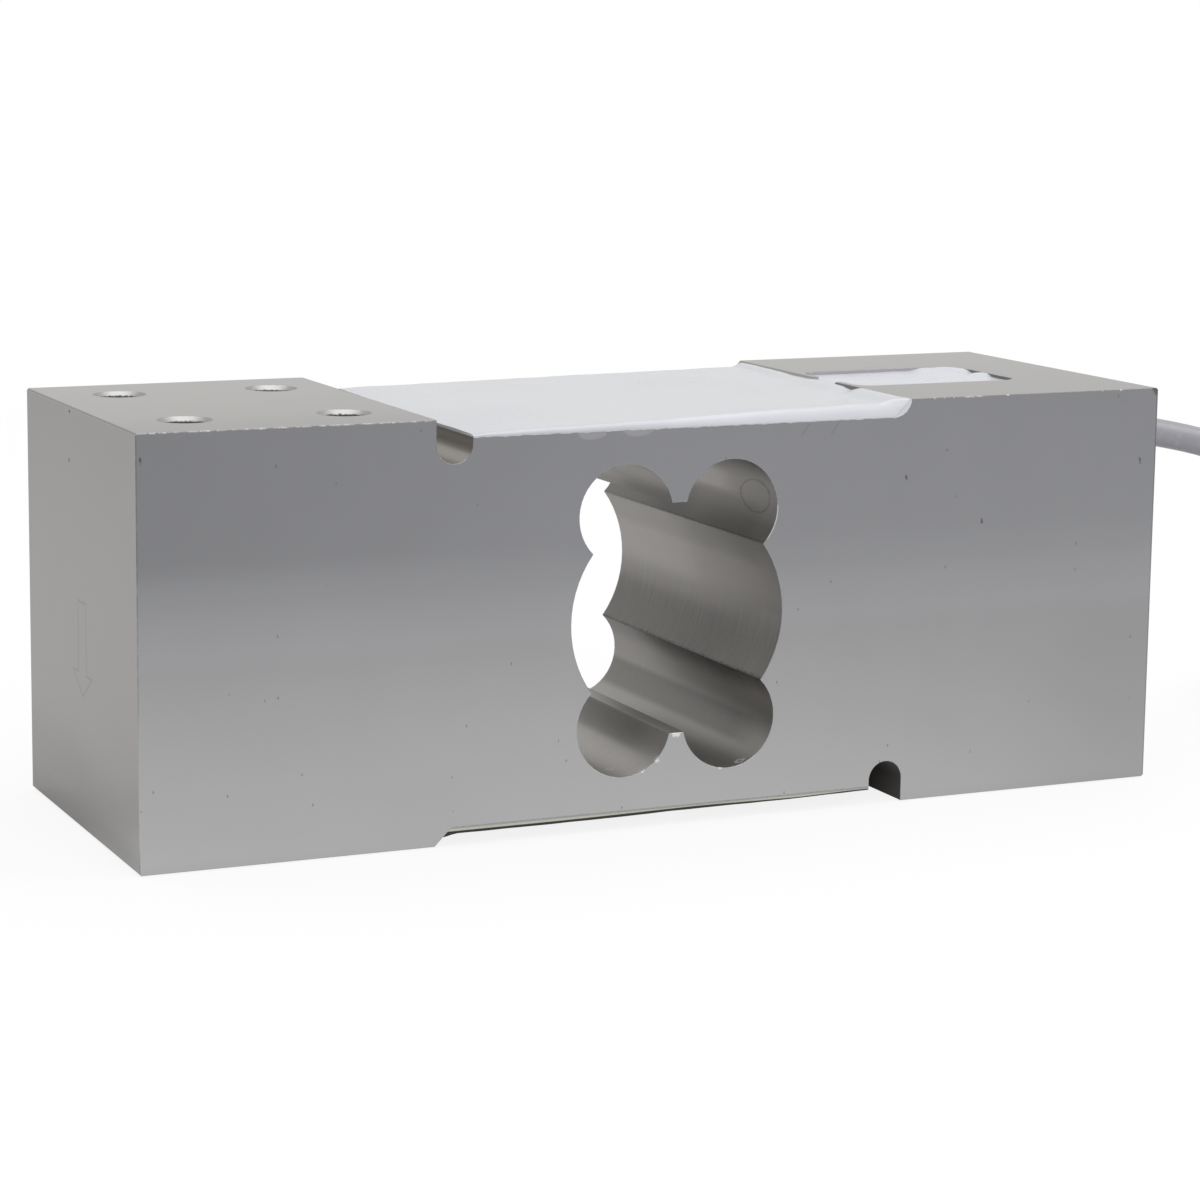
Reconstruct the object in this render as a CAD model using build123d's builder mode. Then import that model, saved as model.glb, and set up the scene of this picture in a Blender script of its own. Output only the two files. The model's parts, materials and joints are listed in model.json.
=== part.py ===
from build123d import *
from math import cos, pi, radians, sin, tan
import os

# Single point load cell. Millimetres, +X along the block towards the cable end, -Y the front face, +Z up.
# The origin is on the floor, under the middle of the block. The block stands on its two lower faces.

# Block
block_length = 176.0
block_width = 60.0
block_height = 66.0
pad_length = 47.0
edge_break = 0.3
cut_over = 1.0

# Relief of one long side: a slot with a round bottom, then a shallow recess that rises to the pad at 45 degrees
slot_width = 6.0
slot_depth = 6.8
recess_depth = 2.8
recess_end_radius = 1.5

# Cut-out through the middle: one large circle and four lobes around it
cutout_radius = 18.4
lobe_radius = 8.05
lobe_x = 9.15
lobe_z = 16.75

# Tapped holes, four in the load pad on top and four in the fixed pad below
tap_drill_radius = 3.4
tap_mouth_radius = 4.3
tap_depth = 20.0
hole_pitch_x = 25.4
hole_pitch_y = 34.0
hole_end_margin = 11.6

# Pocket in the top of the fixed pad, its channel to the recess, and the slanted bore for the lower wires
pocket_length = 30.4
pocket_width = 21.4
pocket_depth = 16.0
pocket_corner = 3.0
pocket_wall = 1.0
pocket_y = -1.0
channel_width = 8.0
wire_bore_radius = 2.0
wire_bore_share = 0.34
wire_bore_from_wall = 3.6
wire_bore_overrun = 2.0

# Cable, its bore and its seal
cable_diameter = 5.0
cable_drop_from_top = 10.7
cable_bore_clearance = 0.1
cable_tail_inside = 5.0
seal_radius = 4.0
seal_depth = 10.0
seal_flange_radius = 5.5
seal_flange_length = 2.5
seal_flange_round = 0.8

# Silicone over the recesses and in the pocket: each skin is thinner along its two sides than in its middle
silicone_side_gap = 0.2
silicone_side_slope = 3.0
top_skin_slot_side = 0.5
top_skin_slot_middle = 1.0
top_skin_pad_side = 1.6
top_skin_pad_middle = 2.0
bottom_skin_side = 0.6
bottom_skin_middle = 1.4
pocket_fill_below_rim = 0.5

# Strain gauges
film_length = 10.0
film_width = 6.4
film_corner = 0.5
film_thickness = 0.2
foil_thickness = 0.1
grid_length = 4.6
strand_width = 0.25
strand_pitch = 0.55
strand_count = 6
tab_length = 1.6
tab_width = 1.2
tab_lap = 0.1

# Terminal strips and their pads
strip_length = 4.0
strip_margin = 0.6
strip_from_gauge = 3.2
contact_length = 1.2
contact_width = 0.7

# Wires
wire_lift = 0.02
jumper_diameter = 0.3
jumper_side_gap = 1.2
jumper_run_off = 0.6
jumper_bend = 0.6
jumper_wide_bend = 1.0
lead_diameter = 0.8
lead_pitch = 0.9
lead_bend = 1.6
lead_wall_gap = 0.56
core_diameter = 1.1
core_lay_offset = 0.68
core_run_out = 0.9
core_bend = 0.7
drain_diameter = 0.6
drain_lay_offset = 1.9
drain_run_out = 0.8
drain_bend = 0.6

# Compensation board in the pocket
tape_thickness = 1.0
tape_margin = 1.0
board_thickness = 1.6
board_lead_gap = 7.2
board_cable_gap = 8.2
board_side_gap = 2.5
board_corner = 0.8
solder_length = 1.6
solder_inset = 0.4
solder_thickness = 0.1
chip_length = 2.0
chip_width = 1.25
chip_height = 0.55
chip_pitch_x = 4.4
chip_pitch_y = 3.75
core_pad_pitch = 3.0
core_pad_width = 1.3
drain_pad_margin = 1.0

# Free cable: the route of its bare stretch, chosen by hand, and the hank of the rest
route = [
    (101.0, -1.0, 55.3),
    (111.5, -1.0, 53.5),
    (122.0, -1.8, 50.8),
    (131.5, -4.2, 45.9),
    (140.0, -8.3, 39.0),
    (148.5, -13.0, 31.5),
    (157.3, -17.5, 25.2),
    (167.0, -20.8, 20.6),
    (177.5, -22.0, 17.7),
]
route_arc_share = 0.45
hank_left_x = 158.5
hank_run = 47.0
hank_fold_radius = 15.0
hank_columns = 3
hank_layers = 3
hank_corner = 2.2
lead_in_length = 21.5
tail_start = (207.0, 17.5)
tail_heading = 207.4
tail_length = 30.0
tie_thickness = 0.8
tie_width = 4.0
tie_head_length = 6.0
tie_head_width = 5.0
tie_head_height = 3.4
tie_head_corner = 0.6

# Bare end of the cable
shrink_wall = 0.6
shrink_on_jacket = 8.0
shrink_past_jacket = 2.5
end_core_start = 0.3
end_core_length = 17.0
end_core_step = 0.8
end_core_spread = 4.0
end_core_side = 0.6
end_core_lift = 0.6
end_core_floor_gap = 0.05
end_tip_length = 5.0
end_tip_diameter = 0.7

# Places worked out from the sizes above
half_length = block_length / 2
half_width = block_width / 2
half_height = block_height / 2
recess_floor_top = block_height - recess_depth
recess_floor_bottom = recess_depth
pad_edge = half_length - pad_length
slot_centre = -pad_edge + slot_width / 2
recess_start = -pad_edge + slot_width
hole_centre_x = half_length - hole_end_margin - hole_pitch_x / 2
pocket_left = pad_edge + pocket_wall
pocket_right = pocket_left + pocket_length
pocket_centre_x = (pocket_left + pocket_right) / 2
pocket_floor = block_height - pocket_depth
cable_radius = cable_diameter / 2
cable_z = block_height - cable_drop_from_top
cable_inner_end = pocket_right - cable_tail_inside
exit_x = half_length + seal_flange_length
gauge_top = film_thickness + foil_thickness
strip_x = lobe_x + film_length / 2 + strip_from_gauge + strip_length / 2
strip_end_x = strip_x + strip_length / 2
wire_bore_x = strip_end_x + wire_bore_share * (-recess_start - strip_end_x)
lead_radius = lead_diameter / 2
board_left = pocket_left + board_lead_gap
board_length = pocket_length - board_lead_gap - board_cable_gap
board_width = pocket_width - 2 * board_side_gap
board_centre_x = board_left + board_length / 2
board_top = pocket_floor + tape_thickness + board_thickness
solder_top = board_top + solder_thickness
inner_lead_offsets = [-1.5 * lead_pitch, -0.5 * lead_pitch, 0.5 * lead_pitch, 1.5 * lead_pitch]
outer_lead_offsets = [-3.6 * lead_pitch, -2.6 * lead_pitch, 2.6 * lead_pitch, 3.6 * lead_pitch]
core_colours = ["red", "black", "green", "white"]
core_pad_offsets = [(i - 1.5) * core_pad_pitch for i in range(4)]
drain_pad_offset = board_width / 2 - drain_pad_margin

os.makedirs("parts", exist_ok=True)


def keep(name, shape):
    """Label a finished piece and write it to its own file."""
    shape.label = name
    export_step(shape, f"parts/{name}.step")


def tube(points, radii, diameter):
    """A round wire or cable along straight runs joined by tangent arcs."""
    with BuildPart() as made:
        with BuildLine() as path:
            FilletPolyline(*points, radius=radii)
        with BuildSketch(Plane(origin=path.line @ 0, z_dir=path.line % 0)):
            Circle(diameter / 2)
        sweep()
    return made.part


def rod(start, end, diameter):
    """A straight round piece from one point to another."""
    axis = Vector(*end) - Vector(*start)
    with BuildPart() as made:
        with BuildSketch(Plane(origin=start, z_dir=axis)):
            Circle(diameter / 2)
        extrude(amount=axis.length)
    return made.part


# Block: one side profile, extruded, then drilled and milled
with BuildSketch() as relief:
    with BuildLine():
        Polyline(
            (recess_start, half_height + cut_over),
            (recess_start, half_height - recess_depth),
            (pad_edge - recess_depth, half_height - recess_depth),
            (pad_edge + cut_over, half_height + cut_over),
            close=True,
        )
    make_face()
    rise_corner = relief.vertices().sort_by_distance((pad_edge - recess_depth, half_height - recess_depth))[0]
    fillet(rise_corner, radius=recess_end_radius)
    with BuildLine():
        Polyline(
            (slot_centre - slot_width / 2, half_height + cut_over),
            (slot_centre - slot_width / 2, half_height - slot_depth + slot_width / 2),
            (slot_centre + slot_width / 2, half_height - slot_depth + slot_width / 2),
            (slot_centre + slot_width / 2, half_height + cut_over),
            close=True,
        )
    make_face()
    with Locations((slot_centre, half_height - slot_depth + slot_width / 2)):
        Circle(slot_width / 2)

with BuildSketch(Plane.XZ) as side_profile:
    with Locations((0, half_height)):
        Rectangle(block_length, block_height)
        Circle(cutout_radius, mode=Mode.SUBTRACT)
        with GridLocations(2 * lobe_x, 2 * lobe_z, 2, 2):
            Circle(lobe_radius, mode=Mode.SUBTRACT)
        add(relief.sketch, mode=Mode.SUBTRACT)
        add(relief.sketch, rotation=180, mode=Mode.SUBTRACT)

wire_bore_low = Vector(wire_bore_x, pocket_y, recess_floor_bottom)
wire_bore_high = Vector(pocket_left + wire_bore_from_wall, pocket_y, pocket_floor)
wire_bore_way = (wire_bore_high - wire_bore_low).normalized()

with BuildPart() as block:
    extrude(side_profile.sketch, amount=half_width, both=True)
    end_edges = block.edges().filter_by(Axis.Y).filter_by(
        lambda e: abs(abs(e.center().X) - half_length) < edge_break
    )
    chamfer(end_edges, length=edge_break)
    with Locations(Location((-hole_centre_x, 0, block_height)), Location((hole_centre_x, 0, 0), (180, 0, 0))):
        with GridLocations(hole_pitch_x, hole_pitch_y, 2, 2):
            CounterSinkHole(tap_drill_radius, tap_mouth_radius, depth=tap_depth, counter_sink_angle=90)
    with BuildSketch(Plane.XY.offset(block_height)):
        with Locations((pocket_centre_x, pocket_y)):
            RectangleRounded(pocket_length, pocket_width, pocket_corner)
    extrude(amount=-pocket_depth, mode=Mode.SUBTRACT)
    with BuildSketch(Plane.XY.offset(block_height)):
        with Locations(((pad_edge - recess_depth + pocket_left + pocket_corner) / 2, pocket_y)):
            Rectangle(pocket_left + pocket_corner - pad_edge + recess_depth, channel_width)
    extrude(amount=-recess_depth, mode=Mode.SUBTRACT)
    with BuildSketch(Plane(origin=wire_bore_low - wire_bore_way * wire_bore_overrun, z_dir=wire_bore_way)):
        Circle(wire_bore_radius)
    extrude(amount=(wire_bore_high - wire_bore_low).length + 2 * wire_bore_overrun, mode=Mode.SUBTRACT)
    with BuildSketch(Plane.YZ.offset(half_length)):
        with Locations((pocket_y, cable_z)):
            Circle(seal_radius)
    extrude(amount=-seal_depth, mode=Mode.SUBTRACT)
    with BuildSketch(Plane.YZ.offset(half_length)):
        with Locations((pocket_y, cable_z)):
            Circle(cable_radius + cable_bore_clearance)
    extrude(amount=-(half_length - pocket_right + cut_over), mode=Mode.SUBTRACT)
keep("load_cell_body", block.part)


# Strain gauges: film carrier and foil grid, one set over and one under each thin web
def draw_grid():
    """Parallel strands joined in turn at their ends, with a tab at each outer strand."""
    span = (strand_count - 1) * strand_pitch
    with GridLocations(0, strand_pitch, 1, strand_count):
        Rectangle(grid_length, strand_width)
    for i in range(strand_count - 1):
        end = grid_length / 2 if i % 2 else -grid_length / 2
        with Locations((end, -span / 2 + (i + 0.5) * strand_pitch)):
            Rectangle(2 * strand_width, strand_pitch + strand_width)
    for side in (-1, 1):
        with Locations((grid_length / 2 + tab_length / 2 - tab_lap, side * span / 2)):
            Rectangle(tab_length, tab_width)


def gauge(x, face_z, up):
    """Film and foil of one gauge on a recess floor. up is 1 for the top web and -1 for the bottom one."""
    with BuildPart() as film:
        with BuildSketch(Plane.XY.offset(face_z)):
            with Locations((x, 0)):
                RectangleRounded(film_length, film_width, film_corner)
        extrude(amount=film_thickness * up)
    with BuildPart() as foil:
        with BuildSketch(Plane.XY.offset(face_z + film_thickness * up)):
            with Locations((x, 0)):
                draw_grid()
        extrude(amount=foil_thickness * up)
    return film.part, foil.part


def strip(face_z, up, offsets):
    """Terminal strip and its row of copper pads, one pad for each lead."""
    with BuildPart() as base:
        with BuildSketch(Plane.XY.offset(face_z)):
            with Locations((strip_x, pocket_y)):
                Rectangle(strip_length, offsets[-1] - offsets[0] + contact_width + 2 * strip_margin)
        extrude(amount=film_thickness * up)
    with BuildPart() as pads:
        with BuildSketch(Plane.XY.offset(face_z + film_thickness * up)):
            with Locations(*[(strip_x, pocket_y + y) for y in offsets]):
                Rectangle(strip_length - 2 * strip_margin, contact_width)
        extrude(amount=foil_thickness * up)
    return base.part, pads.part


def jumpers(face_z, up, offsets):
    """Bare wires from the tabs of both gauges to the terminal strip, lying just over tabs and pads."""
    z = face_z + (gauge_top + wire_lift + jumper_diameter / 2) * up
    tab_x = grid_length / 2 + tab_length / 2
    tab_y = (strand_count - 1) * strand_pitch / 2
    film_end = film_length / 2 + jumper_run_off
    around = film_width / 2 + jumper_side_gap
    pad_x = strip_x - strip_length / 2 + strip_margin + contact_length / 2
    wires = []
    for side, near_pad, far_pad in ((-1, offsets[1], offsets[0]), (1, offsets[2], offsets[3])):
        near_gauge = [
            (lobe_x + tab_x, side * tab_y, z),
            (lobe_x + film_end, side * tab_y, z),
            (pad_x, pocket_y + near_pad, z),
        ]
        far_gauge = [
            (-lobe_x + tab_x, side * tab_y, z),
            (-lobe_x + film_end, side * around, z),
            (lobe_x + film_length / 2, side * around, z),
            (pad_x, pocket_y + far_pad, z),
        ]
        wires.append(tube(near_gauge, [jumper_bend], jumper_diameter))
        wires.append(tube(far_gauge, [jumper_wide_bend, jumper_wide_bend], jumper_diameter))
    return Compound(wires)


pieces = {}
for side_name, x in (("left", -lobe_x), ("right", lobe_x)):
    for level, face_z, up in (("top", recess_floor_top, 1), ("bottom", recess_floor_bottom, -1)):
        film, foil = gauge(x, face_z, up)
        pieces[f"gauge_film_{level}_{side_name}"] = film
        pieces[f"gauge_foil_{level}_{side_name}"] = foil
for level, face_z, up, offsets in (
    ("top", recess_floor_top, 1, outer_lead_offsets),
    ("bottom", recess_floor_bottom, -1, inner_lead_offsets),
):
    base, pads = strip(face_z, up, offsets)
    pieces[f"terminal_strip_{level}"] = base
    pieces[f"terminal_pads_{level}"] = pads
    pieces[f"jumper_wires_{level}"] = jumpers(face_z, up, offsets)


# Bridge leads: over the recess and down into the pocket, or under the block and up the slanted bore
def on_bore(z):
    """The point of the slanted bore's axis at one height."""
    return wire_bore_low + wire_bore_way * ((z - wire_bore_low.Z) / wire_bore_way.Z)


lead_start_x = strip_x + strip_length / 2 - strip_margin - contact_length
lead_end_x = board_left + solder_length
lead_end_z = solder_top + wire_lift + lead_radius
top_lead_z = recess_floor_top + gauge_top + wire_lift + lead_radius
bottom_lead_z = recess_floor_bottom - gauge_top - wire_lift - lead_radius
top_lead_bend_x = pocket_left + lead_wall_gap + lead_radius


def leads(start_z, bend_x, landing_x, offsets):
    """Four insulated wires side by side from a terminal strip to the board."""
    wires = []
    for y in offsets:
        points = [
            (lead_start_x, pocket_y + y, start_z),
            (bend_x, pocket_y + y, start_z),
            (landing_x, pocket_y + y, lead_end_z),
            (lead_end_x, pocket_y + y, lead_end_z),
        ]
        wires.append(tube(points, [lead_bend, lead_bend], lead_diameter))
    return Compound(wires)


pieces["bridge_leads_top"] = leads(top_lead_z, top_lead_bend_x, top_lead_bend_x, outer_lead_offsets)
pieces["bridge_leads_bottom"] = leads(
    bottom_lead_z, on_bore(bottom_lead_z).X, on_bore(lead_end_z).X, inner_lead_offsets
)

# Compensation board on its tape, with solder pads and chip resistors
with BuildPart() as tape:
    with BuildSketch(Plane.XY.offset(pocket_floor)):
        with Locations((board_centre_x, pocket_y)):
            Rectangle(board_length - 2 * tape_margin, board_width - 2 * tape_margin)
    extrude(amount=tape_thickness)
pieces["board_tape"] = tape.part

with BuildPart() as board:
    with BuildSketch(Plane.XY.offset(pocket_floor + tape_thickness)):
        with Locations((board_centre_x, pocket_y)):
            RectangleRounded(board_length, board_width, board_corner)
    extrude(amount=board_thickness)
pieces["compensation_board"] = board.part

lead_pad_x = board_left + solder_inset + solder_length / 2
core_pad_x = board_left + board_length - solder_inset - solder_length / 2
with BuildPart() as solder:
    with BuildSketch(Plane.XY.offset(board_top)):
        with Locations(*[(lead_pad_x, pocket_y + y) for y in outer_lead_offsets + inner_lead_offsets]):
            Rectangle(solder_length, contact_width)
        with Locations(*[(core_pad_x, pocket_y + y) for y in core_pad_offsets + [drain_pad_offset]]):
            Rectangle(solder_length, core_pad_width)
    extrude(amount=solder_thickness)
pieces["board_solder_pads"] = solder.part

with BuildPart() as chips:
    with BuildSketch(Plane.XY.offset(board_top)):
        with Locations((board_centre_x, pocket_y)):
            with GridLocations(chip_pitch_x, chip_pitch_y, 2, 3):
                Rectangle(chip_width, chip_length)
    extrude(amount=chip_height)
pieces["trim_resistors"] = chips.part

# Cable inside the block: jacket end, four cores and the drain wire down to the board
pieces["cable_jacket_inside"] = rod(
    (cable_inner_end, pocket_y, cable_z), (exit_x, pocket_y, cable_z), cable_diameter
)


def inner_wire(lay_y, lay_z, run_out, pad_y, bend, diameter):
    """A wire from the jacket's end, down to its pad on the board."""
    start = (cable_inner_end, pocket_y + lay_y, cable_z + lay_z)
    land_z = solder_top + wire_lift + diameter / 2
    points = [
        start,
        (start[0] - run_out, start[1], start[2]),
        (core_pad_x + run_out, pocket_y + pad_y, land_z),
        (core_pad_x - solder_length / 2, pocket_y + pad_y, land_z),
    ]
    return tube(points, [bend, bend], diameter)


core_lay = ((-1, 1), (-1, -1), (1, -1), (1, 1))
for colour, (lay_side, lay_level), pad_y in zip(core_colours, core_lay, core_pad_offsets):
    pieces[f"core_{colour}_inside"] = inner_wire(
        lay_side * core_lay_offset, lay_level * core_lay_offset, core_run_out, pad_y, core_bend, core_diameter
    )
pieces["drain_wire_inside"] = inner_wire(
    drain_lay_offset, 0, drain_run_out, drain_pad_offset, drain_bend, drain_diameter
)

# Rubber seal: a sleeve in the counterbore and a flange on the end face
with BuildPart() as seal:
    with BuildSketch(Plane.XZ.offset(-pocket_y)):
        with BuildLine():
            Polyline(
                (half_length - seal_depth, cable_z + cable_radius),
                (half_length - seal_depth, cable_z + seal_radius),
                (half_length, cable_z + seal_radius),
                (half_length, cable_z + seal_flange_radius),
                (exit_x, cable_z + seal_flange_radius),
                (exit_x, cable_z + cable_radius),
                close=True,
            )
        make_face()
    revolve(axis=Axis((0, pocket_y, cable_z), (1, 0, 0)))
    outer_rims = seal.edges().filter_by(GeomType.CIRCLE).group_by(SortBy.RADIUS)[-1]
    fillet(outer_rims.sort_by(Axis.X)[-1], radius=seal_flange_round)
pieces["cable_seal"] = seal.part


# Silicone: a skin in each recess, cut to seat on everything that it covers
def skin(ends, face_z, up):
    """Loft between two cross-sections, each given as x, thickness at the sides and in the middle."""
    side = half_width - silicone_side_gap
    shoulder = side - silicone_side_slope
    with BuildPart() as made:
        for x, at_side, in_middle in ends:
            with BuildSketch(Plane.YZ.offset(x)):
                with BuildLine():
                    Polyline(
                        (-side, face_z),
                        (-side, face_z + up * at_side),
                        (-shoulder, face_z + up * in_middle),
                        (shoulder, face_z + up * in_middle),
                        (side, face_z + up * at_side),
                        (side, face_z),
                        close=True,
                    )
                make_face()
        loft()
    return made.part


top_skin_ends = (
    (recess_start, top_skin_slot_side, top_skin_slot_middle),
    (pad_edge, top_skin_pad_side, top_skin_pad_middle),
)
bottom_skin_ends = (
    (-recess_start, bottom_skin_side, bottom_skin_middle),
    (-pad_edge, bottom_skin_side, bottom_skin_middle),
)
top_skin = skin(top_skin_ends, recess_floor_top, 1)
bottom_skin = skin(bottom_skin_ends, recess_floor_bottom, -1)
in_bottom_skin = [name for name in pieces if "bottom" in name]
in_top_silicone = [name for name in pieces if "bottom" not in name and name != "cable_seal"]
in_top_silicone.append("bridge_leads_bottom")

with BuildPart() as top_silicone:
    add(top_skin)
    with BuildSketch(Plane.XY.offset(block_height - pocket_fill_below_rim)):
        with Locations((pocket_centre_x, pocket_y)):
            RectangleRounded(pocket_length, pocket_width, pocket_corner)
    extrude(amount=-(pocket_depth - pocket_fill_below_rim))
    with BuildSketch(Plane.XY.offset(block_height - pocket_fill_below_rim)):
        with Locations(((pad_edge - recess_depth + pocket_left + pocket_corner) / 2, pocket_y)):
            Rectangle(pocket_left + pocket_corner - pad_edge + recess_depth, channel_width)
    extrude(amount=-(recess_depth - pocket_fill_below_rim))
    add(block.part, mode=Mode.SUBTRACT)
    for name in in_top_silicone:
        add(pieces[name], mode=Mode.SUBTRACT)
keep("top_silicone", top_silicone.part)

with BuildPart() as bottom_silicone:
    add(bottom_skin)
    add(block.part, mode=Mode.SUBTRACT)
    for name in in_bottom_skin:
        add(pieces[name], mode=Mode.SUBTRACT)
keep("bottom_silicone", bottom_silicone.part)

for name, piece in pieces.items():
    keep(name, piece)

# Free cable: straight runs and tangent arcs, each arc as large as its two runs allow
cable_points = [(exit_x, pocket_y, cable_z)] + route
cable_radii = []
for before, corner, after in zip(cable_points, cable_points[1:], cable_points[2:]):
    run_in = Vector(*corner) - Vector(*before)
    run_out = Vector(*after) - Vector(*corner)
    half_turn = radians(run_in.get_angle(run_out)) / 2
    cable_radii.append(route_arc_share * min(run_in.length, run_out.length) / tan(half_turn))
cable_run = tube(cable_points, cable_radii, cable_diameter)
with BuildLine() as cable_path:
    FilletPolyline(*cable_points, radius=cable_radii)
run_length = sum(edge.length for edge in cable_path.edges())
print("cable radii", [round(r, 1) for r in cable_radii])
print("cable run length", round(run_length, 1))
print("cable run volume", round(cable_run.volume, 1))
print("section times length", round(pi * cable_radius**2 * run_length, 1))
keep("cable_run", cable_run)

# Hank: the outer shape of all its turns, with the lead-in from above and the cable's tail in its middle
hank_centre_x = hank_left_x + hank_run / 2
hank_inner = hank_fold_radius - cable_radius
hank_outer = hank_fold_radius + (hank_columns - 1) * cable_diameter + cable_radius
hank_height = hank_layers * cable_diameter
hank_bundle_y = (hank_inner + hank_outer) / 2
lead_in_way = (Vector(*route[-1]) - Vector(*route[-2])).normalized()
lead_in_end = Vector(*route[-1]) + lead_in_way * lead_in_length
shrink_radius = cable_radius + shrink_wall
tail_way = Vector(cos(radians(tail_heading)), sin(radians(tail_heading)), 0)
tail_from = Vector(tail_start[0], tail_start[1], shrink_radius)
tail_to = tail_from + tail_way * tail_length

with BuildPart() as tie:
    with BuildSketch(Plane.YZ.offset(hank_centre_x - tie_width / 2)):
        with Locations((hank_bundle_y, (hank_height + tie_thickness) / 2)):
            RectangleRounded(
                hank_outer - hank_inner + 2 * tie_thickness,
                hank_height + tie_thickness,
                hank_corner + tie_thickness,
            )
            RectangleRounded(
                hank_outer - hank_inner,
                hank_height - tie_thickness,
                hank_corner,
                mode=Mode.SUBTRACT,
            )
    extrude(amount=tie_width)
    with BuildSketch(Plane.XY.offset(hank_height + tie_thickness)):
        with Locations((hank_centre_x, hank_bundle_y)):
            RectangleRounded(tie_head_length, tie_head_width, tie_head_corner)
    extrude(amount=tie_head_height)
keep("cable_tie", tie.part)

with BuildPart() as hank:
    with BuildSketch():
        with Locations((hank_centre_x, 0)):
            SlotCenterToCenter(hank_run, 2 * hank_outer)
            SlotCenterToCenter(hank_run, 2 * hank_inner, mode=Mode.SUBTRACT)
    extrude(amount=hank_height)
    fillet(hank.faces().filter_by(Axis.Z).edges(), radius=hank_corner)
    add(rod(route[-1], lead_in_end, cable_diameter))
    add(rod(tail_from, tail_to, cable_diameter))
    add(tie.part, mode=Mode.SUBTRACT)
keep("cable_hank", hank.part)

# Bare end: shrink sleeve, four cores and the twisted shield in its own sleeve, each with a tinned tip
with BuildPart() as shrink:
    with BuildSketch(Plane(origin=tail_to - tail_way * shrink_on_jacket, z_dir=tail_way)):
        Circle(shrink_radius)
        Circle(cable_radius, mode=Mode.SUBTRACT)
    extrude(amount=shrink_on_jacket + shrink_past_jacket)
keep("shrink_sleeve", shrink.part)

tail_side = Vector(-tail_way.Y, tail_way.X, 0)
end_names = [f"core_{colour}_end" for colour in core_colours] + ["shield_pigtail_end"]
tips = []
for i, name in enumerate(end_names):
    place = i - 2
    turn = radians(place * end_core_spread)
    level = end_core_lift if i % 2 else -end_core_lift
    start = tail_to + tail_way * end_core_start + tail_side * (place * end_core_side) + Vector(0, 0, level)
    way = tail_way * cos(turn) + tail_side * sin(turn)
    reach = start + way * (end_core_length + end_core_step * (i % 3))
    end = Vector(reach.X, reach.Y, core_diameter / 2 + end_core_floor_gap)
    keep(name, rod(start, end, core_diameter))
    tips.append(rod(end, end + way * end_tip_length, end_tip_diameter))
keep("tinned_tips", Compound(tips))
print("turns in the hank", hank_columns * hank_layers)
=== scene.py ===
import bpy
import json
import math
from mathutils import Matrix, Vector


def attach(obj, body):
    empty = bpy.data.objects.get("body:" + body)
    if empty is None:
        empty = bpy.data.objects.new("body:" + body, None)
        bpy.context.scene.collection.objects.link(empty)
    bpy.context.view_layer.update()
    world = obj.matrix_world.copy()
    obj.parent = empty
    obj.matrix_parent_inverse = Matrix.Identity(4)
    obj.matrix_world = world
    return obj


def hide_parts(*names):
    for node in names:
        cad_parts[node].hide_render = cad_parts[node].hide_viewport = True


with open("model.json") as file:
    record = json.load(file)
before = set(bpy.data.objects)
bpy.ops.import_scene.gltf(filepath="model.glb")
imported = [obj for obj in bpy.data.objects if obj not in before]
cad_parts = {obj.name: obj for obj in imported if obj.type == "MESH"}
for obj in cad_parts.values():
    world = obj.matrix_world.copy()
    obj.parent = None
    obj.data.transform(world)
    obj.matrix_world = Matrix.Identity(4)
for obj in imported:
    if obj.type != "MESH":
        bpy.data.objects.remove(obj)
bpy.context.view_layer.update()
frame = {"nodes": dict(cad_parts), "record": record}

nodes = frame["nodes"]
mm = 0.001
print("frame loaded:", len(nodes), "nodes")


# An output socket that can be used in sums, such as 1 - mask
class Wire:
    def __init__(self, graph, socket):
        self.graph = graph
        self.socket = socket

    def __add__(self, other):
        return self.graph.maths("ADD", self, other)

    __radd__ = __add__

    def __sub__(self, other):
        return self.graph.maths("SUBTRACT", self, other)

    def __rsub__(self, other):
        return self.graph.maths("SUBTRACT", other, self)

    def __mul__(self, other):
        return self.graph.maths("MULTIPLY", self, other)

    __rmul__ = __mul__

    def __truediv__(self, other):
        return self.graph.maths("DIVIDE", self, other)

    def __pow__(self, other):
        return self.graph.maths("POWER", self, other)

    def __neg__(self):
        return self.graph.maths("MULTIPLY", self, -1.0)

    def size(self):
        return self.graph.maths("ABSOLUTE", self)

    def least(self, other):
        return self.graph.maths("MINIMUM", self, other)

    def most(self, other):
        return self.graph.maths("MAXIMUM", self, other)


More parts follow.
